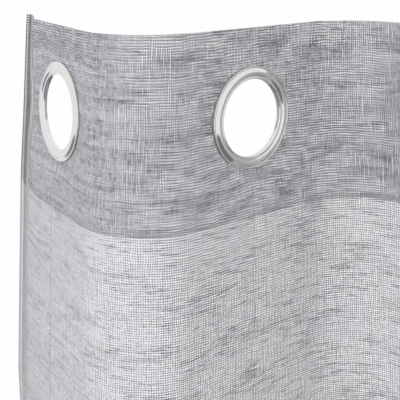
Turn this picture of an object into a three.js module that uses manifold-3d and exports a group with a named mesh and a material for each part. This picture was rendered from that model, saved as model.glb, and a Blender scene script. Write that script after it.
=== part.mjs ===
// Eyelet curtain panel: sheer plain-weave cloth with a doubled heading, sewn hems and
// snap-together ring eyelets, hanging in even pleats from a pole that runs along X.
// Millimetres, +Z up. Origin: on the line through the eyelet centres, at mid-width.
// The pleats fold in alternate directions about vertical lines at the crests of the cloth.
import * as THREE from 'three';
import { mergeVertices } from 'three/addons/utils/BufferGeometryUtils.js';
import Module from 'manifold-3d';

const wasm = await Module();
wasm.setup();

// Cloth as cut and sewn, measured flat.
const CLOTH_WIDTH = 1400;
const CLOTH_LENGTH = 2500;
const HEADING_HEIGHT = 100;
const BOTTOM_HEM_HEIGHT = 70;
const SIDE_HEM_WIDTH = 12;

// Eyelets.
const EYELET_COUNT = 10;
const SIDE_MARGIN = 47.5; // side edge to the first eyelet's centre
const EYELET_DROP = 47; // top edge to the eyelet centres
const EYELET_BORE = 20; // radius the pole passes through
const EYELET_RADIUS = 27.2;
const BARREL_RADIUS = 21.3;

// Hung shape, in plan: flat round each eyelet, then a round fold to the next one.
const RING_TILT = THREE.MathUtils.degToRad(52); // cloth at an eyelet, against the pole
const FLAT_HALF = 42;

// Solid thickness of the layers, and the spaces between the pieces.
const DROP_THICKNESS = 1.0;
const HEADING_THICKNESS = 1.4;
const BOTTOM_HEM_THICKNESS = 1.8;
const SIDE_HEM_THICKNESS = 2.0;
const SEAM_GAP = 0.3;
const FOLD_GAP = 1.6; // open crest between two pleats, so that they can fold shut

const LABEL_WIDTH = 10;
const LABEL_HEIGHT = 40;
const LABEL_THICKNESS = 0.5;
const LABEL_ABOVE_HEM = 120;

const EYELET_PITCH = (CLOTH_WIDTH - 2 * SIDE_MARGIN) / (EYELET_COUNT - 1);
const HALF_PITCH = EYELET_PITCH / 2;
const FOLD_RADIUS = (HALF_PITCH - FLAT_HALF) / RING_TILT;
const HALF_SPACING = FLAT_HALF * Math.cos(RING_TILT) + FOLD_RADIUS * Math.sin(RING_TILT);

const TOP = EYELET_DROP;
const HEADING_BOTTOM = TOP - HEADING_HEIGHT;
const BOTTOM = TOP - CLOTH_LENGTH;
const HEM_TOP = BOTTOM + BOTTOM_HEM_HEIGHT;

const FOLD_STEPS = 5;
const RING_STEPS = 20;

const CLOTH = material(0x9d9ca3, 0.95, 0);
const HEADING_CLOTH = material(0x8b8a92, 0.95, 0);
const CHROME = material(0xdfe1e4, 0.18, 1);
const LABEL_TAPE = material(0xf2f1ee, 0.8, 0);

function material(color, roughness, metalness) {
  return new THREE.MeshStandardMaterial({ color, roughness, metalness });
}

function named(name, geometry, finish) {
  const mesh = new THREE.Mesh(geometry, finish);
  mesh.name = name;
  return mesh;
}

// A point of the pleat in plan, along cloth distance u from its eyelet centre, on a line
// offset from the middle of the cloth. lean is +1 or -1, the way that the pleat slants.
function pleatPoint(u, offset, lean) {
  const turn = (lean * Math.max(Math.abs(u) - FLAT_HALF, 0)) / FOLD_RADIUS;
  const straight = Math.min(Math.abs(u), FLAT_HALF);
  const along = Math.sign(u) * (straight + FOLD_RADIUS * Math.sin(Math.abs(turn)));
  const across = -Math.sign(u) * lean * FOLD_RADIUS * (1 - Math.cos(turn));
  return new THREE.Vector2(along + offset * Math.sin(turn), across + offset * Math.cos(turn));
}

// Cloth distances at which the outline needs a point between two ends.
function stations(from, to) {
  const fold = [];
  for (let i = 0; i <= FOLD_STEPS; i += 1) {
    fold.push(FLAT_HALF + ((HALF_PITCH - FLAT_HALF) * i) / FOLD_STEPS);
  }
  const marks = [...fold.map((mark) => -mark).reverse(), ...fold];
  return [from, ...marks.filter((mark) => mark > from + 1 && mark < to - 1), to];
}

// A strip of cloth of one thickness, between two cloth distances and two heights.
function clothStrip(from, to, bottom, top, thickness, lean) {
  const us = stations(from, to);
  const front = us.map((u) => pleatPoint(u, -thickness / 2, lean));
  const back = us.map((u) => pleatPoint(u, thickness / 2, lean));
  const outline = new THREE.Shape([...front, ...back.reverse()]);
  const geometry = new THREE.ExtrudeGeometry(outline, { depth: top - bottom, bevelEnabled: false });
  return geometry.translate(0, 0, bottom);
}

function toSolid(geometry) {
  const bare = geometry.clone();
  bare.deleteAttribute('normal');
  bare.deleteAttribute('uv');
  const merged = mergeVertices(bare);
  return new wasm.Manifold(new wasm.Mesh({
    numProp: 3,
    vertProperties: new Float32Array(merged.attributes.position.array),
    triVerts: new Uint32Array(merged.index.array),
  }));
}

function toGeometry(solid) {
  const { vertProperties, triVerts } = solid.getMesh();
  const geometry = new THREE.BufferGeometry();
  geometry.setAttribute('position', new THREE.BufferAttribute(vertProperties, 3));
  geometry.setIndex(new THREE.BufferAttribute(triVerts, 1));
  geometry.computeVertexNormals();
  return geometry;
}

// The doubled band along the top, with the hole that the eyelet's barrel fills.
function headingGeometry(from, to, lean) {
  const band = clothStrip(from, to, HEADING_BOTTOM, TOP, HEADING_THICKNESS, lean);
  const punch = new THREE.CylinderGeometry(
    BARREL_RADIUS + SEAM_GAP, BARREL_RADIUS + SEAM_GAP, 4 * HEADING_THICKNESS, RING_STEPS);
  return toGeometry(toSolid(band).subtract(toSolid(punch)));
}

function ringGeometry(profile) {
  const points = [...profile, profile[0]].map(([r, height]) => new THREE.Vector2(r, height));
  return new THREE.LatheGeometry(points, RING_STEPS);
}

// Room side of the eyelet: a dished flange between two raised lips, and the barrel.
function eyeletFrontGeometry() {
  const seat = HEADING_THICKNESS / 2 + SEAM_GAP;
  return ringGeometry([
    [EYELET_BORE, -seat - 1.6],
    [BARREL_RADIUS, -seat - 1.6],
    [BARREL_RADIUS, seat],
    [EYELET_RADIUS - 0.5, seat],
    [EYELET_RADIUS, seat + 0.6],
    [EYELET_RADIUS - 0.9, seat + 1.6],
    [EYELET_RADIUS - 3.4, seat + 1.1],
    [EYELET_BORE + 1.4, seat + 1.9],
    [EYELET_BORE, seat + 1.2],
  ]);
}

// Window side of the eyelet: a low dished washer that snaps over the barrel.
function eyeletBackGeometry() {
  const seat = HEADING_THICKNESS / 2 + SEAM_GAP;
  const inner = BARREL_RADIUS + SEAM_GAP;
  return ringGeometry([
    [inner, -seat - 1.6],
    [EYELET_RADIUS - 1.0, -seat - 1.4],
    [EYELET_RADIUS, -seat - 0.6],
    [EYELET_RADIUS - 0.5, -seat],
    [inner, -seat],
  ]);
}

// One eyelet of the curtain with the cloth that hangs from it, between two crests.
function pleat(index) {
  const tag = String(index + 1).padStart(2, '0');
  const lean = index % 2 === 0 ? -1 : 1;
  const crest = HALF_PITCH - FOLD_GAP / 2;
  const hemEdge = SIDE_MARGIN - SIDE_HEM_WIDTH;
  const from = index === 0 ? -(hemEdge - FOLD_GAP) : -crest;
  const to = index === EYELET_COUNT - 1 ? hemEdge - SEAM_GAP : crest;

  const group = new THREE.Group();
  group.position.x = (2 * index - (EYELET_COUNT - 1)) * HALF_SPACING;
  group.rotation.z = lean * RING_TILT;
  group.add(named(`heading_${tag}`, headingGeometry(from, to, lean), HEADING_CLOTH));
  const drop = clothStrip(
    from, to, HEM_TOP + SEAM_GAP, HEADING_BOTTOM - SEAM_GAP, DROP_THICKNESS, lean);
  group.add(named(`drop_${tag}`, drop, CLOTH));
  const hem = clothStrip(from, to, BOTTOM, HEM_TOP, BOTTOM_HEM_THICKNESS, lean);
  group.add(named(`bottom_hem_${tag}`, hem, CLOTH));
  for (const [side, geometry] of [['front', eyeletFrontGeometry()], ['back', eyeletBackGeometry()]]) {
    const ring = named(`eyelet_${side}_${tag}`, geometry, CHROME);
    ring.rotation.x = Math.PI; // the lathe's +Y end faces the room, which is -Y
    group.add(ring);
  }
  return group;
}

function sideHem(name, from, to, lean) {
  return named(name, clothStrip(from, to, BOTTOM, TOP, SIDE_HEM_THICKNESS, lean), CLOTH);
}

// Blank care tape, stitched to the back of the right side hem near the bottom.
function careLabel(lean) {
  const geometry = new THREE.BoxGeometry(LABEL_WIDTH, LABEL_THICKNESS, LABEL_HEIGHT);
  const label = named('care_label', geometry, LABEL_TAPE);
  const middle = SIDE_MARGIN - SIDE_HEM_WIDTH / 2 - 0.5;
  const proud = SIDE_HEM_THICKNESS / 2 + SEAM_GAP + LABEL_THICKNESS / 2;
  const place = pleatPoint(middle, proud, lean);
  label.position.set(place.x, place.y, HEM_TOP + LABEL_ABOVE_HEM);
  return label;
}

const curtain = new THREE.Group();
for (let index = 0; index < EYELET_COUNT; index += 1) {
  curtain.add(pleat(index));
}
const [firstPleat] = curtain.children;
const lastPleat = curtain.children[EYELET_COUNT - 1];
const lastLean = EYELET_COUNT % 2 === 0 ? 1 : -1;
firstPleat.add(sideHem('side_hem_left', -SIDE_MARGIN, SIDE_HEM_WIDTH - SIDE_MARGIN, -1));
lastPleat.add(sideHem('side_hem_right', SIDE_MARGIN - SIDE_HEM_WIDTH, SIDE_MARGIN, lastLean));
lastPleat.add(careLabel(lastLean));

export default curtain;
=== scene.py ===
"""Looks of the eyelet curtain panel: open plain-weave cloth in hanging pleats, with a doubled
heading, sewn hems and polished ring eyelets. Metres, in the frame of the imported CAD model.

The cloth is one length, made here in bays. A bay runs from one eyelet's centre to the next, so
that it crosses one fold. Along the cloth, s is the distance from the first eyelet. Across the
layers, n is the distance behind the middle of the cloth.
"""
import math

import bpy
import numpy as np
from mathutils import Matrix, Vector


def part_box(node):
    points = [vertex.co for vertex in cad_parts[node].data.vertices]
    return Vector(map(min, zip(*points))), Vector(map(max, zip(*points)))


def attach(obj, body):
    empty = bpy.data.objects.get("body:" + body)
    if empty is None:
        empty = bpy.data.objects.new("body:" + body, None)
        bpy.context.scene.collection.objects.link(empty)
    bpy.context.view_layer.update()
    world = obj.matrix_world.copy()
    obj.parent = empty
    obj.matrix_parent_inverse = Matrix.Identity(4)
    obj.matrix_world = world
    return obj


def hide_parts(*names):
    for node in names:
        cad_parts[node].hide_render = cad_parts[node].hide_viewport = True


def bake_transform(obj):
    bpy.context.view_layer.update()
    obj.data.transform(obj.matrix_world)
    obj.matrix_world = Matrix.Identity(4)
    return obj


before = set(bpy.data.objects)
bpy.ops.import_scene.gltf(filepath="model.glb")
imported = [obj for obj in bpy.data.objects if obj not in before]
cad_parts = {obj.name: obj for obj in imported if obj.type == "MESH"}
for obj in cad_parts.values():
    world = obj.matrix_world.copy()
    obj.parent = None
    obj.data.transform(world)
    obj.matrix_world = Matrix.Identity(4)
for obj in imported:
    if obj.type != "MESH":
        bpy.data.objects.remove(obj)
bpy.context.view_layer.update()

rng = np.random.default_rng(11)

# Cloth, measured flat.
PITCH = 0.145  # eyelet centre to eyelet centre
SIDE_MARGIN = 0.0475  # side edge to the nearest eyelet's centre
SIDE_HEM = 0.012
LAYER_GAP = 0.0007  # middle to middle of two layers sewn together
HEADING_GAP = 0.0002  # the same in the heading, where they lie close together
CALIPER = 0.00014  # thickness of one layer
WARP_PITCH = 0.00112
WEFT_PITCH = 0.00138
RUNG_PITCH = 0.00132  # weft to weft at the folded side edge

# Hanging shape in plan: flat round each eyelet, then a round fold to the next.
EYELETS = 10
TILT = math.radians(52)
FLAT_HALF = 0.042
FOLD_RADIUS = (PITCH / 2 - FLAT_HALF) / TILT
HALF_SPACING = FLAT_HALF * math.cos(TILT) + FOLD_RADIUS * math.sin(TILT)

# Heights, from the CAD model.
SEAM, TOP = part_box("heading_01")[0].z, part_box("heading_01")[1].z
BOTTOM, HEM_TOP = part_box("bottom_hem_01")[0].z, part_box("bottom_hem_01")[1].z

# Path length from eyelet height up the front of the heading to the top of its fold.
HEADING_FOLD = TOP + HEADING_GAP / 2 * (math.pi / 2 - 1)

LEFT_EDGE = -SIDE_MARGIN
RIGHT_EDGE = (EYELETS - 1) * PITCH + SIDE_MARGIN
FIRST_EYELET_X = -(EYELETS - 1) * HALF_SPACING

# Eyelet ring.
CLOTH_HOLE = 0.0226  # radius of the hole that the ring fills
HELD = 0.029  # half-width of the cloth that the ring holds flat
HELD_FADE = 0.016  # from there to where the cloth hangs freely

# How the cloth strays from the even pleats.
SPREAD_DEPTHS = [0.0, 0.1, 0.225, 0.4]  # below the top edge
SPREAD_SHARES = [0.0, 0.106, 0.21, 0.235]  # how much the cloth is spread out at those depths
SPREAD_PIVOT = 0.074  # along the pole from the first eyelet, the line that stays in place
SPREAD_REACH = 0.150  # distance from the pivot at which the spread levels off
SPREAD_FADE = 0.22, 0.48  # from the first eyelet, where it begins and ends to fade out
HEM_LIFT, HEM_LIFT_WIDTH = 0.0044, 0.030  # at the left side edge, and how far in it reaches
SAG, SAG_DEPTH = 0.0012, 0.05  # and the depth below the eyelets at which it is complete

# Where the end bays tuck into the side hems.
TUCK = 0.001  # how far the cloth goes into a side hem


def smooth(value, low, high):
    """0 below low, 1 above high, and a smooth step between."""
    t = np.clip((np.asarray(value, float) - low) / (high - low), 0, 1)
    return t * t * (3 - 2 * t)


# ---------------------------------------------------------------- the hanging shape


def lean_of(eyelet):
    """-1 or 1, the way that the cloth at this eyelet slants; eyelets count from 0."""
    return np.where(np.asarray(eyelet) % 2 == 0, -1.0, 1.0)


def plan(s, n):
    """x and y of the even pleats at cloth distance s, n behind the middle of the cloth."""
    eyelet = np.clip(np.round(s / PITCH), 0, EYELETS - 1)
    lean = lean_of(eyelet)
    u = s - eyelet * PITCH
    bend = np.maximum(np.abs(u) - FLAT_HALF, 0) / FOLD_RADIUS
    along = np.sign(u) * (np.minimum(np.abs(u), FLAT_HALF) + FOLD_RADIUS * np.sin(bend))
    across = -np.sign(u) * lean * FOLD_RADIUS * (1 - np.cos(bend))
    slant = lean * TILT
    heading = slant - lean * bend
    x = FIRST_EYELET_X + 2 * HALF_SPACING * eyelet
    x = x + along * np.cos(slant) - across * np.sin(slant) - n * np.sin(heading)
    y = along * np.sin(slant) + across * np.cos(slant) + n * np.cos(heading)
    return x, y


def held_share(s, z):
    """0 on the cloth that an eyelet holds, 1 away from it."""
    eyelet = np.clip(np.round(s / PITCH), 0, EYELETS - 1)
    return smooth(np.hypot(s - eyelet * PITCH, z), HELD, HELD + HELD_FADE)


FOLD_WANDER = rng.uniform(-1, 1, (3, EYELETS + 2))


def wander(s, row):
    """A smooth random value between -1 and 1 along the cloth, one for each fold."""
    place = np.clip(s / PITCH + 1.0, 0, EYELETS + 0.999)
    fold = np.floor(place).astype(int)
    share = smooth(place - fold, 0, 1)
    values = FOLD_WANDER[row]
    return values[fold] * (1 - share) + values[np.minimum(fold + 1, EYELETS + 1)] * share


def ring_turn(eyelet):
    """How each ring sits on its pole: turned a little about the vertical, and leaning sideways.
    Next to the free edge it turns flatter to the pole and leans with the flaring cloth."""
    twist = np.where(eyelet == 0, math.radians(2.5), np.radians(1.2) * np.sin(5.1 * eyelet))
    lean = np.where(eyelet == 0, math.radians(4.0), np.radians(0.8) * np.sin(3.7 * eyelet))
    return twist, lean


def ring_shift(eyelet, x, y, z):
    """dx, dy and dz that turning an eyelet's ring about its centre gives to a point by it."""
    twist, lean = ring_turn(eyelet)
    across = x - (FIRST_EYELET_X + 2 * HALF_SPACING * eyelet)
    tipped = across * np.cos(lean) + z * np.sin(lean)
    dz = z * np.cos(lean) - across * np.sin(lean) - z
    dx = tipped * np.cos(twist) - y * np.sin(twist) - across
    dy = tipped * np.sin(twist) + y * np.cos(twist) - y
    return dx, dy, dz


def drape(s, z):
    """How far the hanging cloth strays from the even pleats, as dx, dy and dz."""
    x, y = plan(s, 0.0)
    from_first = x - FIRST_EYELET_X
    # The free side edge flares out, more and more below its eyelet.
    flare = np.interp(TOP - z, SPREAD_DEPTHS, SPREAD_SHARES)
    flare = flare * SPREAD_REACH * np.tanh((from_first - SPREAD_PIVOT) / SPREAD_REACH)
    flare = flare * (1 - smooth(from_first, *SPREAD_FADE))
    # The hem shrinks a little, which lifts the cloth beside it.
    below = smooth(-z, 0.0, SAG_DEPTH)
    lift = HEM_LIFT * (1 - smooth(s, LEFT_EDGE, LEFT_EDGE + HEM_LIFT_WIDTH)) * below
    # The cloth's weight draws it down a little below the eyelets.
    lift = lift - SAG * below
    # Far below the eyelets each fold hangs its own way.
    low = smooth(-z, 0.25, 1.5)
    sway = np.sin(2.1 * z + 3.0 * wander(s, 2))
    dx = flare + low * (0.009 * wander(s, 0) + 0.004 * sway)
    dy = low * (0.006 * wander(s, 1) + 0.003 * sway)
    # Beside an eyelet the cloth goes with its ring.
    free = held_share(s, z)
    eyelet = np.clip(np.round(s / PITCH), 0, EYELETS - 1)
    ring = ring_shift(eyelet, x, y, z)
    return tuple(own * free + held * (1 - free) for own, held in zip((dx, dy, lift), ring))


# ---------------------------------------------------------------- materials

YARN = (0.352, 0.357, 0.384)
PLATING = (0.78, 0.78, 0.775)
SEWING_GREY = (0.42, 0.42, 0.45)
TAPE_WHITE = (0.86, 0.85, 0.82)
FLOOR_WHITE = (0.84, 0.84, 0.85)

BACK_SHIFT = (-0.22, 0.02)  # slip of the heading's back layer, in warp and in weft pitches


class Nodes:
    """Short calls that add nodes to one node tree, each giving the new node's output."""

    def __init__(self, tree):
        self.tree = tree

    def coordinates(self, kind):
        return self.add("ShaderNodeTexCoord").outputs[kind]

    def split(self, vector):
        """The three parts of a vector."""
        node = self.add("ShaderNodeSeparateXYZ")
        self.plug(node.inputs[0], vector)
        return node.outputs

    def weave(self):
        """The weave's own coordinates, and the two of them apart."""
        place = self.add("ShaderNodeUVMap", uv_map="weave").outputs[0]
        first, second, _ = self.split(place)
        return place, first, second

    def add(self, kind, **settings):
        node = self.tree.nodes.new(kind)
        for name, value in settings.items():
            setattr(node, name, value)
        return node

    def plug(self, socket, value):
        if isinstance(value, bpy.types.NodeSocket):
            self.tree.links.new(value, socket)
        else:
            socket.default_value = value

    def math(self, operation, *values):
        node = self.add("ShaderNodeMath", operation=operation)
        for socket, value in zip(node.inputs, values):
            self.plug(socket, value)
        return node.outputs[0]

    def plus(self, first, second):
        return self.math("ADD", first, second)

    def minus(self, first, second):
        return self.math("SUBTRACT", first, second)

    def times(self, first, second):
        return self.math("MULTIPLY", first, second)

    def larger(self, first, second):
        return self.math("MAXIMUM", first, second)

    def ramp(self, value, low, high, start=0.0, end=1.0):
        node = self.add("ShaderNodeMapRange", interpolation_type="SMOOTHSTEP")
        for socket, number in zip(node.inputs, (value, low, high, start, end)):
            self.plug(socket, number)
        return node.outputs[0]

    def point(self, x, y, z=0.0):
        node = self.add("ShaderNodeCombineXYZ")
        for socket, value in zip(node.inputs, (x, y, z)):
            self.plug(socket, value)
        return node.outputs[0]

    def noise(self, place, scale, detail=2.0):
        node = self.add("ShaderNodeTexNoise", noise_dimensions="3D")
        self.plug(node.inputs["Vector"], place)
        self.plug(node.inputs["Scale"], scale)
        self.plug(node.inputs["Detail"], detail)
        return node.outputs[0]

    def chance(self, value):
        node = self.add("ShaderNodeTexWhiteNoise", noise_dimensions="1D")
        self.plug(node.inputs["W"], value)
        return node.outputs["Value"]

    def shade(self, colour, brightness):
        node = self.add("ShaderNodeVectorMath", operation="SCALE")
        node.inputs[0].default_value = colour
        self.plug(node.inputs["Scale"], brightness)
        return node.outputs[0]

    def bump(self, height, distance, strength=1.0):
        node = self.add("ShaderNodeBump")
        self.plug(node.inputs["Height"], height)
        self.plug(node.inputs["Distance"], distance)
        self.plug(node.inputs["Strength"], strength)
        return node.outputs[0]


def new_material(name):
    material = bpy.data.materials.new(name)
    material.use_nodes = True
    return material, Nodes(material.node_tree), material.node_tree.nodes["Principled BSDF"]


def yarns(nodes, across, along, width, seed):
    """Parallel threads: how far they cover the cloth, how round they stand, each one's own chance
    value and its number. across and along are counted in thread pitches."""
    index = nodes.math("FLOOR", across)
    own = nodes.chance(nodes.plus(index, seed))
    row = nodes.times(index, 1.7)
    uneven = nodes.noise(nodes.point(row, nodes.times(along, 0.23), seed), 1.0, 1.0)
    aside = nodes.noise(nodes.point(row, nodes.times(along, 0.16), seed + 40.0), 1.0, 0.0)
    aside = nodes.times(nodes.minus(aside, 0.5), 0.50)
    middle = nodes.plus(nodes.minus(nodes.math("FRACT", across), 0.5), aside)
    out = nodes.times(nodes.math("ABSOLUTE", middle), 2.0)
    grow = nodes.plus(nodes.times(own, 0.24), nodes.times(uneven, 1.3))
    half = nodes.times(width, nodes.plus(grow, 0.23))
    cover = nodes.ramp(nodes.minus(out, half), -0.10, 0.10, 1.0, 0.0)
    flat = nodes.math("DIVIDE", out, nodes.larger(half, 0.05))
    roundness = nodes.minus(1.0, nodes.math("POWER", nodes.math("MINIMUM", flat, 1.0), 2.0))
    return cover, roundness, own, index


def cloth_material(name, colour, warp_width, weft_width):
    """Open plain weave of uneven linen-like threads. Where no thread lies, one sees through."""
    material, nodes, shader = new_material(name)
    weave, s, v = nodes.weave()

    # Threads waver in their rows. The layers of the heading were folded with the threads in line,
    # and have slipped a little against each other, here more and there less.
    back = nodes.minus(HEADING_FOLD, nodes.math("ABSOLUTE", nodes.minus(v, HEADING_FOLD)))
    folded = nodes.point(s, back)
    close = nodes.minus(nodes.noise(folded, 80.0), 0.5)
    far = nodes.minus(nodes.noise(folded, 9.0, 1.0), 0.5)
    waver = nodes.plus(nodes.times(close, 1.3), nodes.times(far, 2.0))
    stretched = nodes.point(nodes.times(s, 34.0), nodes.times(v, 90.0))
    slip = nodes.minus(nodes.noise(stretched, 1.0, 1.5), 0.5)
    warp_place = nodes.plus(nodes.math("DIVIDE", s, WARP_PITCH), waver)
    behind = nodes.math("GREATER_THAN", v, HEADING_FOLD)
    warp_slip = nodes.plus(nodes.times(slip, 0.7), nodes.times(behind, BACK_SHIFT[0]))
    warp_place = nodes.plus(warp_place, warp_slip)
    weft_place = nodes.minus(nodes.math("DIVIDE", back, WEFT_PITCH), waver)
    weft_slip = nodes.plus(nodes.times(slip, 0.6), nodes.times(behind, BACK_SHIFT[1]))
    weft_place = nodes.plus(weft_place, weft_slip)

    # Slubs: soft thick stretches, long in the weft and a few threads high.
    streaks = nodes.noise(nodes.point(nodes.times(s, 75.0), nodes.times(v, 360.0)), 1.0)
    patches = nodes.noise(nodes.point(nodes.times(s, 30.0), nodes.times(v, 70.0)), 1.0)
    thick = nodes.ramp(nodes.plus(streaks, nodes.times(patches, 0.6)), 0.77, 1.0)
    # The heading was pressed, so its threads lie a little wider. Its two layers let less light
    # through, which is painted into its colour as shade.
    pressed_and_shaded = nodes.math("GREATER_THAN", v, SEAM)
    warp_wide = nodes.plus(warp_width, nodes.times(pressed_and_shaded, 0.05))
    weft_wide = nodes.plus(weft_width, nodes.times(pressed_and_shaded, 0.04))
    weft_wide = nodes.plus(weft_wide, nodes.times(thick, 0.25))

    warp, warp_round, warp_own, warp_index = yarns(
        nodes, warp_place, weft_place, warp_wide, seed=0.37)
    weft, weft_round, weft_own, weft_index = yarns(
        nodes, weft_place, warp_place, weft_wide, seed=5.13)

    # Plain weave: over and under in turn, so each thread stands proud at every second crossing.
    turn = nodes.math("MODULO", nodes.math("ABSOLUTE", nodes.plus(warp_index, weft_index)), 2.0)
    warp_up = nodes.times(warp_round, nodes.plus(nodes.times(turn, 0.5), 0.5))
    weft_up = nodes.times(weft_round, nodes.minus(1.0, nodes.times(turn, 0.5)))
    height = nodes.larger(nodes.times(warp_up, warp), nodes.times(weft_up, weft))

    fuzz = nodes.noise(weave, 3200.0, 2.0)
    cover = nodes.larger(warp, weft)
    cover = nodes.plus(cover, nodes.times(nodes.minus(fuzz, 0.5), 0.35))
    cover = nodes.ramp(cover, 0.25, 0.70)

    # No two crossings catch the light alike.
    number = nodes.plus(nodes.times(warp_index, 13.7), nodes.times(weft_index, 7.93))
    crossing = nodes.chance(number)
    own = nodes.plus(nodes.times(warp_own, 0.16), nodes.times(weft_own, 0.22))
    own = nodes.plus(own, nodes.times(crossing, 0.38))
    # Painted shade: the threads are painted lighter where they stand proud and darker at their
    # edges and where they dip under a crossing.
    light = nodes.plus(nodes.plus(own, 0.42), nodes.times(height, 0.28))
    light = nodes.minus(light, nodes.times(thick, 0.27))
    # Painted shade: the heading's threads are darkened for the light that its two layers hold
    # back.
    light = nodes.minus(light, nodes.times(pressed_and_shaded, 0.055))
    light = nodes.plus(light, nodes.times(nodes.minus(fuzz, 0.5), 0.25))
    nodes.plug(shader.inputs["Base Color"], nodes.shade(colour, light))
    nodes.plug(shader.inputs["Alpha"], cover)
    nodes.plug(shader.inputs["Normal"], nodes.bump(height, 0.00012, 0.7))
    matte_cloth(shader)
    return material


def matte_cloth(shader):
    shader.inputs["Roughness"].default_value = 0.85
    shader.inputs["Specular IOR Level"].default_value = 0.2
    shader.inputs["Sheen Weight"].default_value = 0.25
    shader.inputs["Sheen Roughness"].default_value = 0.5


def hem_material(name, colour):
    """Selvedge folded into a narrow hem. Its weave map holds the distance from the folded edge and
    the height. By the edge only weft threads lie, like rungs; behind them the layers are dense.
    Beside the heading the rungs lie right at the edge; below it they lie further in."""
    material, nodes, shader = new_material(name)
    weave, inward, z = nodes.weave()
    waver = nodes.times(nodes.minus(nodes.noise(weave, 60.0), 0.5), 1.2)
    warp_place = nodes.math("DIVIDE", inward, WARP_PITCH)
    weft_place = nodes.plus(nodes.math("DIVIDE", z, RUNG_PITCH), waver)
    below = nodes.ramp(z, SEAM - 0.002, SEAM, 1.0, 0.0)

    def band(beside_heading, under_heading):
        """1 from this distance inwards."""
        start = nodes.plus(beside_heading, nodes.times(below, under_heading - beside_heading))
        return nodes.ramp(nodes.minus(inward, start), -0.0002, 0.0002)

    past_edge = band(0.0010, 0.0018)
    past_rungs = band(0.0043, 0.0066)
    past_layers = nodes.ramp(inward, 0.0080, 0.0102)
    dense = nodes.times(past_rungs, nodes.minus(1.0, past_layers))

    out = nodes.minus(nodes.math("FRACT", weft_place), 0.5)
    out = nodes.times(nodes.math("ABSOLUTE", out), 2.0)
    rung = nodes.ramp(out, 0.40, 0.52, 1.0, 0.0)
    own = nodes.chance(nodes.math("FLOOR", weft_place))
    warp, warp_round = yarns(nodes, warp_place, weft_place, 0.45, seed=2.9)[:2]
    warp = nodes.times(warp, past_rungs)
    cover = nodes.larger(nodes.larger(warp, rung), nodes.minus(1.0, past_edge))
    filled = nodes.times(dense, nodes.minus(0.97, nodes.times(below, 0.45)))
    nodes.plug(shader.inputs["Alpha"], nodes.larger(nodes.ramp(cover, 0.2, 0.7), filled))
    height = nodes.larger(rung, nodes.times(warp_round, 0.4))
    # Painted shade: the many layers let less light through and shade the inside of the folds, so
    # the hem is painted darker. Among them the rungs show as dashes, painted darker still.
    dark = nodes.plus(nodes.times(own, 0.12), nodes.times(below, 0.38))
    between = nodes.times(nodes.minus(1.0, rung), 0.30)
    dark = nodes.plus(nodes.plus(dark, 0.02), between)
    lighter = nodes.times(past_layers, nodes.minus(0.85, dark))
    light = nodes.plus(dark, lighter)
    nodes.plug(shader.inputs["Base Color"], nodes.shade(colour, light))
    nodes.plug(shader.inputs["Normal"], nodes.bump(height, 0.00015, 0.8))
    matte_cloth(shader)
    return material


def chrome_material():
    material, nodes, shader = new_material("polished_plating")
    place = nodes.coordinates("Object")
    smear = nodes.noise(place, 90.0, 4.0)
    nodes.plug(shader.inputs["Roughness"], nodes.ramp(smear, 0.3, 0.75, 0.08, 0.16))
    shine = nodes.ramp(smear, 0.2, 0.8, 0.95, 1.0)
    nodes.plug(shader.inputs["Base Color"], nodes.shade(PLATING, shine))
    nodes.plug(shader.inputs["Normal"], nodes.bump(nodes.noise(place, 260.0, 3.0), 0.00004, 0.5))
    # The clear lacquer over the plating scatters some light.
    shader.inputs["Metallic"].default_value = 0.80
    return material


def thread_material():
    material, nodes, shader = new_material("sewing_thread")
    place = nodes.coordinates("Object")
    twist = nodes.noise(place, 2600.0, 2.0)
    shine = nodes.ramp(twist, 0.3, 0.7, 0.75, 1.1)
    nodes.plug(shader.inputs["Base Color"], nodes.shade(SEWING_GREY, shine))
    nodes.plug(shader.inputs["Normal"], nodes.bump(twist, 0.0001, 0.6))
    shader.inputs["Roughness"].default_value = 0.7
    return material


def tape_material():
    material, nodes, shader = new_material("satin_tape")
    place = nodes.coordinates("Object")
    ribs = nodes.add("ShaderNodeTexWave", wave_type="BANDS", bands_direction="Z")
    nodes.plug(ribs.inputs["Vector"], place)
    ribs.inputs["Scale"].default_value = 900.0
    ribs.inputs["Distortion"].default_value = 1.5
    fleck = nodes.noise(place, 1500.0, 2.0)
    shine = nodes.ramp(fleck, 0.2, 0.8, 0.90, 1.0)
    nodes.plug(shader.inputs["Base Color"], nodes.shade(TAPE_WHITE, shine))
    nodes.plug(shader.inputs["Normal"], nodes.bump(ribs.outputs["Fac"], 0.0001, 0.4))
    shader.inputs["Roughness"].default_value = 0.45
    shader.inputs["Sheen Weight"].default_value = 0.3
    return material


CLOTH = cloth_material("open_weave", YARN, warp_width=0.37, weft_width=0.33)
HEM_CLOTH = hem_material("folded_selvedge", YARN)
CHROME = chrome_material()
THREAD = thread_material()
TAPE = tape_material()


# ---------------------------------------------------------------- making pieces


def new_piece(name, corners, faces, material):
    mesh = bpy.data.meshes.new(name)
    mesh.from_pydata([tuple(corner) for corner in corners], [], [tuple(face) for face in faces])
    mesh.materials.append(material)
    mesh.polygons.foreach_set("use_smooth", [True] * len(mesh.polygons))
    mesh.validate()
    piece = bpy.data.objects.new(name, mesh)
    bpy.context.scene.collection.objects.link(piece)
    return piece


def piece_on_cloth(name, s, n, z, faces, material):
    """A piece whose points lie at cloth distance s, n behind the even pleats, at height z."""
    x, y = plan(s, n)
    return new_piece(name, np.stack([x, y, z], 1), faces, material)


def add_weave(piece, places):
    """Lays the weave's own coordinates over the piece: cloth distances in metres."""
    layer = piece.data.uv_layers.new(name="weave")
    corners = np.zeros(len(piece.data.loops), int)
    piece.data.loops.foreach_get("vertex_index", corners)
    layer.data.foreach_set("uv", np.asarray(places, np.float32)[corners].ravel())


def pleat_name(number):
    return f"pleat_{number:02d}"


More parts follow.
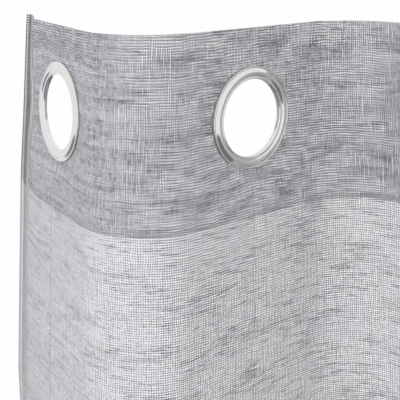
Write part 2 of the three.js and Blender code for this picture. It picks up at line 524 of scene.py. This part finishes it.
def bind(piece, bay):
    """Fixes a bay's piece in place. Bay 0 runs from the outer edge, and the last bay,
    past the last eyelet, follows that eyelet's pleat alone."""
    if bay == EYELETS:
        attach(piece, pleat_name(EYELETS))
        return
    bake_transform(piece)


def hang(piece, s, z):
    """Moves a piece's points from the even pleats to where the cloth hangs. Each point moves by
    its place on the cloth alone, so neighbours stay together."""
    at = np.zeros(len(piece.data.vertices) * 3)
    piece.data.vertices.foreach_get("co", at)
    at = at.reshape(-1, 3) + np.stack(drape(s, z), 1)
    piece.data.vertices.foreach_set("co", at.ravel())
    piece.data.update()


def thicken(piece, thickness):
    solid = piece.modifiers.new("caliper", "SOLIDIFY")
    solid.thickness = thickness
    solid.offset = 0.0


# ---------------------------------------------------------------- cloth bays


def fold_over(v, n_from, n_to, z, up):
    """A half-circle fold from one layer to the next, as (v, n, z) rows."""
    middle, radius = (n_from + n_to) / 2, abs(n_to - n_from) / 2
    side = math.copysign(1.0, n_from - n_to)
    turns = np.linspace(0, math.pi, 7)
    return [
        (v + up * radius * a, middle + side * radius * math.cos(a), z + up * radius * math.sin(a))
        for a in turns
    ]


def bay_columns(bay):
    """Cloth distances of a bay's columns, with the held square by each eyelet evenly divided."""
    held = np.linspace(0, HELD, 9)
    if bay == 0:
        tuck = LEFT_EDGE + SIDE_HEM - TUCK
        return np.concatenate([np.linspace(tuck, -HELD, 3)[:-1], -held[::-1]])
    if bay == EYELETS:
        tuck = RIGHT_EDGE - SIDE_HEM + TUCK
        last = (EYELETS - 1) * PITCH
        return np.concatenate([last + held, np.linspace(last + HELD, tuck, 3)[1:]])
    first, last = (bay - 1) * PITCH, bay * PITCH
    free = np.linspace(first + HELD, last - HELD, 31)
    return np.concatenate([first + held, free[1:-1], last - held[::-1]])


def pattern(columns, rows, holes=()):
    """A flat cloth pattern: points (s, v) and quads, with a round hole at each of holes, which
    are half in this bay."""
    points, faces, known = [], [], {}

    def corner(s, v):
        key = (round(s * 1e7), round(v * 1e7))
        if key not in known:
            known[key] = len(points)
            points.append((s, v))
        return known[key]

    def is_held(s, v):
        return any(abs(s - hole_s) < HELD and abs(v - hole_v) < HELD for hole_s, hole_v in holes)

    for s0, s1 in zip(columns, columns[1:]):
        for v0, v1 in zip(rows, rows[1:]):
            if not is_held((s0 + s1) / 2, (v0 + v1) / 2):
                faces.append([corner(s0, v0), corner(s1, v0), corner(s1, v1), corner(s0, v1)])

    steps = 4
    for hole_s, hole_v in holes:
        side = 1 if abs(hole_s - columns[0]) < HELD else -1
        across = sorted(abs(s - hole_s) for s in columns if abs(s - hole_s) < HELD + 1e-6)
        up = sorted(v - hole_v for v in rows if abs(v - hole_v) < HELD - 1e-6)
        rim = [(a, -HELD) for a in across] + [(HELD, b) for b in up]
        rim += [(a, HELD) for a in reversed(across)]
        loops = []
        for step in range(steps + 1):
            loop = []
            for a, b in rim:
                shrink = CLOTH_HOLE / math.hypot(a, b)
                scale = shrink + (1 - shrink) * step / steps
                loop.append(corner(hole_s + side * a * scale, hole_v + b * scale))
            loops.append(loop)
        for inner, outer in zip(loops, loops[1:]):
            for quad in zip(inner, outer, outer[1:], inner[1:]):
                faces.append(quad[::side])
    return np.array(points), faces


def cloth_bay(kind, bay, path, rows, nodes_stood_for, holes=()):
    """One bay of one part of the cloth. path is the (v, n, z) line that the cloth follows from
    edge to edge, over its folds."""
    columns = bay_columns(bay)
    points, faces = pattern(columns, rows, holes)
    s, v = points.T
    path_v, path_n, path_z = np.array(sorted(path)).T
    n, z = np.interp(v, path_v, path_n), np.interp(v, path_v, path_z)
    piece = piece_on_cloth(f"{kind}_bay_{bay:02d}", s, n, z, faces, CLOTH)
    add_weave(piece, points)
    bind(piece, bay)
    hang(piece, s, z)
    thicken(piece, CALIPER)
    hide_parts(*nodes_stood_for)


def near_eyelets(bay):
    """Numbers, from 1, of the eyelets at the two ends of a bay."""
    return [number for number in (bay, bay + 1) if 1 <= number <= EYELETS]


def heading_bay(bay):
    """Both layers, from the seam up the front, over the fold at the top and down the back."""
    radius = HEADING_GAP / 2
    front, back, crown = -radius, radius, TOP - radius
    up = np.concatenate([
        np.linspace(SEAM, -HELD, 7)[:-1],
        np.linspace(-HELD, HELD, 17)[:-1],
        np.linspace(HELD, crown, 6),
    ])
    middle = crown + radius * math.pi / 2
    over = fold_over(crown, front, back, crown, 1)
    rows = np.concatenate([up, [row[0] for row in over][1:-1], (2 * middle - up)[::-1]])
    path = [(SEAM, front, SEAM), *over, (2 * middle - SEAM, back, SEAM)]
    centres = [(number - 1) * PITCH for number in near_eyelets(bay)]
    holes = [(s, v) for s in centres for v in (0.0, 2 * middle)]
    nodes = [f"heading_{number:02d}" for number in near_eyelets(bay)]
    cloth_bay("heading", bay, path, rows, nodes, holes)


def drop_bay(bay):
    steps = np.linspace(0, 1, 71) ** 1.5
    rows = (SEAM + (HEM_TOP - SEAM) * steps)[::-1]
    path = [(HEM_TOP, -LAYER_GAP / 2, HEM_TOP), (SEAM, -HEADING_GAP / 2, SEAM)]
    nodes = [f"drop_{number:02d}" for number in near_eyelets(bay)]
    cloth_bay("drop", bay, path, rows, nodes)


def bottom_hem_bay(bay):
    """Front layer, round the bottom edge, up the back, and the turned-in edge between them."""
    front, back, inside = -LAYER_GAP / 2, LAYER_GAP, LAYER_GAP / 3
    outer, inner = (back - front) / 2, (back - inside) / 2
    low, high = BOTTOM + outer, HEM_TOP - inner
    under = fold_over(low, front, back, low, -1)
    v_high = under[-1][0] - (high - low)
    over = [(2 * v_high - v, n, z) for v, n, z in fold_over(v_high, back, inside, high, 1)]
    clear = 0.006  # from the bottom up to where the turned-in edge ends
    v_end = over[-1][0] - (high - low - clear)
    path = [(HEM_TOP, front, HEM_TOP), *under, *over, (v_end, inside, low + clear)]
    runs = [
        np.linspace(HEM_TOP, low, 8), [row[0] for row in under],
        np.linspace(under[-1][0], v_high, 8), [row[0] for row in over],
        np.linspace(over[-1][0], v_end, 8),
    ]
    rows = np.unique(np.round(np.concatenate(runs), 7))
    nodes = [f"bottom_hem_{number:02d}" for number in near_eyelets(bay)]
    cloth_bay("bottom_hem", bay, path, rows, nodes)


# ---------------------------------------------------------------- side hems

# (distance in from the folded edge, share of the full thickness)
HEM_PROFILE = [
    (0.0, 0.0), (0.0002, 0.10), (0.001, 0.13), (0.002, 0.13), (0.0035, 0.14), (0.0043, 0.2),
    (0.005, 0.8), (0.0062, 1.0), (0.0078, 0.9), (0.0092, 0.5), (0.011, 0.36), (SIDE_HEM, 0.33),
]
HEM_HALF, HEADING_EXTRA = 0.0003, 0.0006  # half its thickness, and what the heading adds


def side_hem(name, edge, inward, body, node):
    """A narrow hem, folded twice: a soft strip, round at the folded edge and thinning out to the
    cloth. It is thicker beside the heading, and its top corner stands a little proud."""
    loop = HEM_PROFILE + [(a, -b) for a, b in HEM_PROFILE[:0:-1]]
    crown, rise = TOP - 0.0035, 0.0056
    below_seam, above_seam = SEAM - 0.06, SEAM + 0.004
    rows = np.concatenate([
        np.linspace(BOTTOM, below_seam, 70)[:-1],
        np.linspace(below_seam, above_seam, 24)[:-1],
        np.linspace(above_seam, crown, 30)[:-1],
        crown + rise * np.sin(np.linspace(0, math.pi / 2, 8)),
    ])
    cap = np.sqrt(np.maximum(0.0, 1 - (np.maximum(rows - crown, 0) / rise) ** 2))
    half = HEM_HALF + HEADING_EXTRA * smooth(rows, SEAM - 0.002, SEAM + 0.002)
    thick = half * np.maximum(cap, 0.04)
    s, n, z, weave, faces = [], [], [], [], []
    for row_z, row_cap, row_thick in zip(rows, cap, thick):
        for a, b in loop:
            middle = SIDE_HEM / 2
            s.append(edge + inward * (middle + (a - middle) * (0.8 + 0.2 * row_cap)))
            n.append(b * row_thick)
            z.append(row_z)
            weave.append((a, row_z))
    count = len(loop)
    for row in range(len(rows) - 1):
        for i in range(count):
            j = (i + 1) % count
            face = [row * count + i, row * count + j, (row + 1) * count + j, (row + 1) * count + i]
            faces.append(face[::-inward])
    ends = list(range(count)), [(len(rows) - 1) * count + i for i in range(count)][::-1]
    faces += [end[::-inward] for end in ends]
    s, n, z = (np.array(values) for values in (s, n, z))
    piece = piece_on_cloth(name, s, n, z, faces, HEM_CLOTH)
    add_weave(piece, weave)
    hang(piece, s, z)
    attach(piece, body)
    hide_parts(node)


# ---------------------------------------------------------------- eyelets

RING_STEPS = 96

# Profiles as (radius, height above the cloth) in millimetres, each a closed line.
FRONT_PROFILE = [
    (26.8, 0.0), (27.15, 0.15), (27.2, 0.45), (27.02, 0.72), (26.7, 0.75), (26.45, 0.58),
    (26.25, 0.52), (26.0, 0.62), (25.4, 1.0), (24.8, 1.36), (24.25, 1.56), (23.7, 1.58),
    (23.2, 1.42), (22.7, 1.08), (22.3, 0.8), (21.95, 0.72), (21.6, 0.82), (21.3, 0.92),
    (21.0, 0.86), (20.7, 0.58), (20.5, 0.1), (20.42, -0.3), (20.38, -0.6), (20.38, -1.1),
    (20.55, -1.5), (20.9, -1.78), (21.25, -1.8), (21.42, -1.5), (21.4, -0.9), (21.4, -0.2),
    (21.7, 0.0),
]
BACK_PROFILE = [
    (21.6, 0.0), (26.6, 0.0), (27.1, 0.2), (27.15, 0.5), (26.8, 0.75), (26.2, 0.85),
    (25.0, 0.95), (23.5, 0.95), (22.2, 0.85), (21.6, 0.65), (21.5, 0.3),
]

# Side of the cloth, profile, middle of the cloth to the ring's foot in metres, way it faces.
RINGS = (("front", FRONT_PROFILE, 0.0005, -1), ("back", BACK_PROFILE, 0.0004, 1))


def rounded(profile, steps=3):
    """A closed smooth line through the profile's points."""
    at = np.array(profile)
    before, after, later = np.roll(at, 1, 0), np.roll(at, -1, 0), np.roll(at, -2, 0)
    line = []
    for p0, p1, p2, p3 in zip(before, at, after, later):
        for t in np.arange(steps) / steps:
            line.append(0.5 * (2 * p1 + (p2 - p0) * t + (2 * p0 - 5 * p1 + 4 * p2 - p3) * t ** 2
                               + (3 * p1 - p0 - 3 * p2 + p3) * t ** 3))
    return np.array(line)


def lathe(name, profile, seat, facing, eyelet, node):
    """A ring turned from a profile in millimetres, on the room side (facing -1) or the window
    side (facing 1) of the cloth at an eyelet, which counts from 0."""
    line = rounded(profile) / 1000
    turns = np.linspace(0, 2 * math.pi, RING_STEPS + 1)[:-1]
    radius, height = line[:, 0], line[:, 1]
    along = np.outer(np.cos(turns), radius).ravel()
    z = np.outer(np.sin(turns), radius).ravel()
    n = np.tile(facing * (seat + height), len(turns))
    lean = float(lean_of(eyelet)) * TILT
    x = FIRST_EYELET_X + 2 * HALF_SPACING * eyelet + along * math.cos(lean) - n * math.sin(lean)
    y = along * math.sin(lean) + n * math.cos(lean)
    x, y, z = (at + shift for at, shift in zip((x, y, z), ring_shift(eyelet, x, y, z)))
    count, faces = len(line), []
    for i in range(len(turns)):
        for j in range(count):
            ring, near = (i + 1) % len(turns), (j + 1) % count
            face = [i * count + j, ring * count + j, ring * count + near, i * count + near]
            faces.append(face if facing < 0 else face[::-1])
    piece = new_piece(name, np.stack([x, y, z], 1), faces, CHROME)
    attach(piece, pleat_name(eyelet + 1))
    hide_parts(node)


# ---------------------------------------------------------------- stitching

HEADING_STITCHES_Z = SEAM + 0.0016
HEM_STITCHES_Z = HEM_TOP - 0.0025
STITCH_PITCH = 0.0032
STITCH_LENGTH = 0.0026
THREAD_HALF = 0.00011  # from the middle of a stitch to its corners
THREAD_SPREAD = 1.4  # a stitch is this much wider than high
STITCH_SECTIONS = ((-1.0, 0.35), (-0.6, 1.0), (0.6, 1.0), (1.0, 0.35))  # (along, fatness)


def row_of_stitches(kind, bay, row_z, faces_n):
    """A level row of lockstitches across a bay, as little lozenges on each face of the cloth, in
    step with the rows in the bays beside it."""
    columns = bay_columns(bay)
    first_stitch = math.ceil(columns[0] / STITCH_PITCH)
    last_stitch = math.floor(columns[-1] / STITCH_PITCH - 1e-6)
    s, n, z, faces = [], [], [], []
    for stitch in range(first_stitch, last_stitch + 1):
        for face_n in faces_n:
            first = len(s)
            for along, fat in STITCH_SECTIONS:
                for corner in range(4):
                    turn = math.pi * (0.25 + 0.5 * corner)
                    s.append(STITCH_PITCH * stitch + along * STITCH_LENGTH / 2)
                    z.append(row_z + math.cos(turn) * THREAD_HALF * fat * THREAD_SPREAD)
                    n.append(face_n + math.sin(turn) * THREAD_HALF * fat)
            for row in range(len(STITCH_SECTIONS) - 1):
                for corner in range(4):
                    near = (corner + 1) % 4
                    base = first + 4 * row
                    faces.append([base + corner, base + 4 + corner, base + 4 + near, base + near])
            faces.append([first + corner for corner in (0, 1, 2, 3)])
            last = first + 4 * (len(STITCH_SECTIONS) - 1)
            faces.append([last + corner for corner in (3, 2, 1, 0)])
    s, n, z = (np.array(values) for values in (s, n, z))
    piece = piece_on_cloth(f"{kind}_stitches_{bay:02d}", s, n, z, faces, THREAD)
    bind(piece, bay)
    hang(piece, s, z)


# ---------------------------------------------------------------- care tape


def care_tape():
    """A blank satin tape, folded in two and caught in the right side hem near the bottom."""
    low, high = (corner.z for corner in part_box("care_label"))
    s_mid = RIGHT_EDGE - SIDE_HEM / 2 - 0.0005
    half_width = 0.005
    tape_caliper = 0.00018
    # (n, z) down the layer next to the cloth, round the fold and up the other one.
    line = [(0.0011, high), (0.0013, high - 0.006), (0.0019, low + 0.012), (0.0023, low + 0.003)]
    fold = np.linspace(-math.pi / 2, math.pi / 2, 5)
    line += [(0.0026 + 0.0004 * math.sin(a), low + 0.0016 - 0.0008 * math.cos(a)) for a in fold]
    line += [(0.0029, low + 0.004), (0.0024, low + 0.014), (0.0017, high - 0.005), (0.0014, high)]
    across = np.linspace(-half_width, half_width, 7)
    s, n, z, faces = [], [], [], []
    for row_n, row_z in line:
        for a in across:
            s.append(s_mid + a)
            n.append(row_n + 0.0003 * (a / half_width) ** 2)
            z.append(row_z)
    width = len(across)
    for row in range(len(line) - 1):
        for i in range(width - 1):
            near, far = row * width + i, (row + 1) * width + i
            faces.append([near, near + 1, far + 1, far])
    s, n, z = (np.array(values) for values in (s, n, z))
    piece = piece_on_cloth("care_tape", s, n, z, faces, TAPE)
    hang(piece, s, z)
    thicken(piece, tape_caliper)
    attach(piece, pleat_name(EYELETS))
    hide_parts("care_label")


# ---------------------------------------------------------------- the curtain

for bay in range(EYELETS + 1):
    heading_bay(bay)
    drop_bay(bay)
    bottom_hem_bay(bay)
    row_of_stitches("heading", bay, HEADING_STITCHES_Z, (-HEADING_GAP, HEADING_GAP))
    row_of_stitches("bottom_hem", bay, HEM_STITCHES_Z, (-LAYER_GAP * 0.65, LAYER_GAP * 1.15))

for eyelet in range(EYELETS):
    number = eyelet + 1
    for side, profile, seat, facing in RINGS:
        node = f"eyelet_{side}_{number:02d}"
        lathe(f"ring_{side}_{number:02d}", profile, seat, facing, eyelet, node)

last_pleat = pleat_name(EYELETS)
side_hem("side_hem_left_tube", LEFT_EDGE, 1, "outer_edge", "side_hem_left")
side_hem("side_hem_right_tube", RIGHT_EDGE, -1, last_pleat, "side_hem_right")
care_tape()


# ---------------------------------------------------------------- studio


def studio_world():
    world = bpy.data.worlds.new("studio")
    bpy.context.scene.world = world
    world.use_nodes = True
    nodes = Nodes(world.node_tree)
    x, y, z = nodes.split(nodes.coordinates("Generated"))
    # White all round, a little less so at the outer side. A dark patch below and in front, which
    # polished rings mirror as dark arcs. The floor hides it from everything else.
    towards = nodes.plus(nodes.times(y, -0.45), nodes.times(z, -0.89))
    dark = nodes.times(nodes.ramp(towards, 0.36, 0.52), nodes.ramp(z, -0.46, -0.36, 1.0, 0.0))
    white = nodes.times(nodes.ramp(x, -0.82, -0.45, 0.80, 1.0), 0.99)
    background = world.node_tree.nodes["Background"]
    lit = nodes.minus(1.0, nodes.times(dark, 0.97))
    nodes.plug(background.inputs["Strength"], nodes.times(white, lit))
    background.inputs["Color"].default_value = (1, 1, 1, 1)


def floor():
    side, front, back = 6.0, -8.0, 2.5
    height = BOTTOM - 0.007
    outline = [(-side, front), (side, front), (side, back), (-side, back)]
    mesh = bpy.data.meshes.new("floor")
    mesh.from_pydata([(x, y, height) for x, y in outline], [], [(0, 1, 2, 3)])
    piece = bpy.data.objects.new("floor", mesh)
    bpy.context.scene.collection.objects.link(piece)
    material, nodes, shader = new_material("pale_floor")
    place = nodes.coordinates("Object")
    shine = nodes.ramp(nodes.noise(place, 3.0), 0.3, 0.7, 0.98, 1.0)
    nodes.plug(shader.inputs["Base Color"], nodes.shade(FLOOR_WHITE, shine))
    shader.inputs["Roughness"].default_value = 0.9
    mesh.materials.append(material)
    piece.visible_glossy = False


def soft_light(name, place, target, size, watts):
    data = bpy.data.lights.new(name, "AREA")
    data.shape = "DISK"
    data.size = size
    data.energy = watts
    light = bpy.data.objects.new(name, data)
    light.location = place
    light.rotation_euler = (Vector(target) - Vector(place)).to_track_quat("-Z", "Y").to_euler()
    light.visible_glossy = False
    bpy.context.scene.collection.objects.link(light)


def camera():
    """Close to the outer top corner, a little above the eyelets and looking down."""
    data = bpy.data.cameras.new("camera")
    data.lens = 78.7
    view = bpy.data.objects.new("camera", data)
    view.location = (FIRST_EYELET_X + 0.1517, -0.4510, 0.0911)
    view.rotation_euler = (math.radians(90 - 16.74), 0, math.radians(9.34))
    bpy.context.scene.collection.objects.link(view)
    bpy.context.scene.camera = view


studio_world()
floor()
soft_light("key", (-2.7, -1.7, 1.0), (-0.3, 0.0, -0.4), 3.2, 105)
camera()
bpy.context.scene.view_settings.view_transform = "Standard"
bpy.context.scene.cycles.transparent_max_bounces = 64
